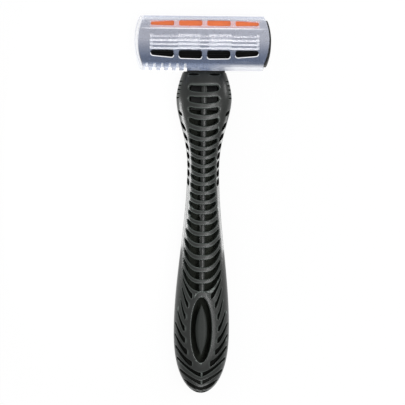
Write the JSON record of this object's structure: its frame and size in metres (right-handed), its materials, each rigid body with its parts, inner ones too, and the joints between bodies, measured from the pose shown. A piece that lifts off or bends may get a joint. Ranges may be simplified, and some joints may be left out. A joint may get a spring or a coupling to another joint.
{
  "type": "cartridge razor",
  "caption": "Wet-shaving razor with a contoured ribbed handle, a sprung pivoting multi-blade cartridge and a milky slide-off cap with windows.",
  "frame": {"origin": "middle of the flat resting pad under the butt of the handle", "axes": "the razor lies on its back: +Z is the blade side, +Y runs from the butt to the head, +X is to the right seen from the blade side"},
  "size_m": [0.0452, 0.1251, 0.0185],
  "materials": {
    "handle_plastic": "satin moulded plastic, dark grey-green",
    "core_plastic": "satin moulded plastic",
    "inlay_plastic": "satin moulded plastic, lighter grey-green",
    "black_plastic": "satin moulded plastic",
    "plunger_plastic": "smooth moulded plastic",
    "spring_steel": "drawn wire",
    "blade_steel": "ground and coated",
    "support_steel": "rolled sheet",
    "strip_polymer": "waxy water-soluble polymer",
    "guard_rubber": "moulded soft fins",
    "cap_frosted": "milky translucent moulded plastic"
  },
  "bodies": {
    "handle": {"handle_front_shell": "handle_plastic", "handle_back_shell": "handle_plastic", "handle_core": "core_plastic", "lens_inlay": "inlay_plastic", "pivot_yoke": "black_plastic", "plunger_spring": "spring_steel"},
    "plunger": {"head_plunger": "plunger_plastic"},
    "cartridge": {"cartridge_base": "black_plastic", "cartridge_cover": "black_plastic", "blade_1": "blade_steel", "blade_2": "blade_steel", "blade_3": "blade_steel", "blade_4": "blade_steel", "blade_support_1": "support_steel", "blade_support_2": "support_steel", "blade_support_3": "support_steel", "blade_support_4": "support_steel", "lubricating_strip": "strip_polymer", "guard_strip": "guard_rubber"},
    "cap": {"protective_cap": "cap_frosted"}
  },
  "joints": [
    {"name": "head_pivot", "type": "hinge", "parent": "handle", "child": "cartridge", "pos_m": [0, 0.0941, 0.009], "axis": [-1, 0, 0], "range_deg": [0, 38], "stiffness_Nm_per_rad": 0.012, "springref_deg": -20.05},
    {"name": "plunger_slide", "type": "slide", "parent": "handle", "child": "plunger", "axis": [0, -1, 0], "range_m": [0, 0.0022], "deforming": ["plunger_spring"]},
    {"name": "cap_slide", "type": "slide", "parent": "cartridge", "child": "cap", "axis": [-1, 0, 0], "range_m": [0, 0.048]}
  ],
  "couplings": [
    {"joint": "plunger_slide", "follows": "head_pivot", "m_per_rad": 0.0032}
  ]
}
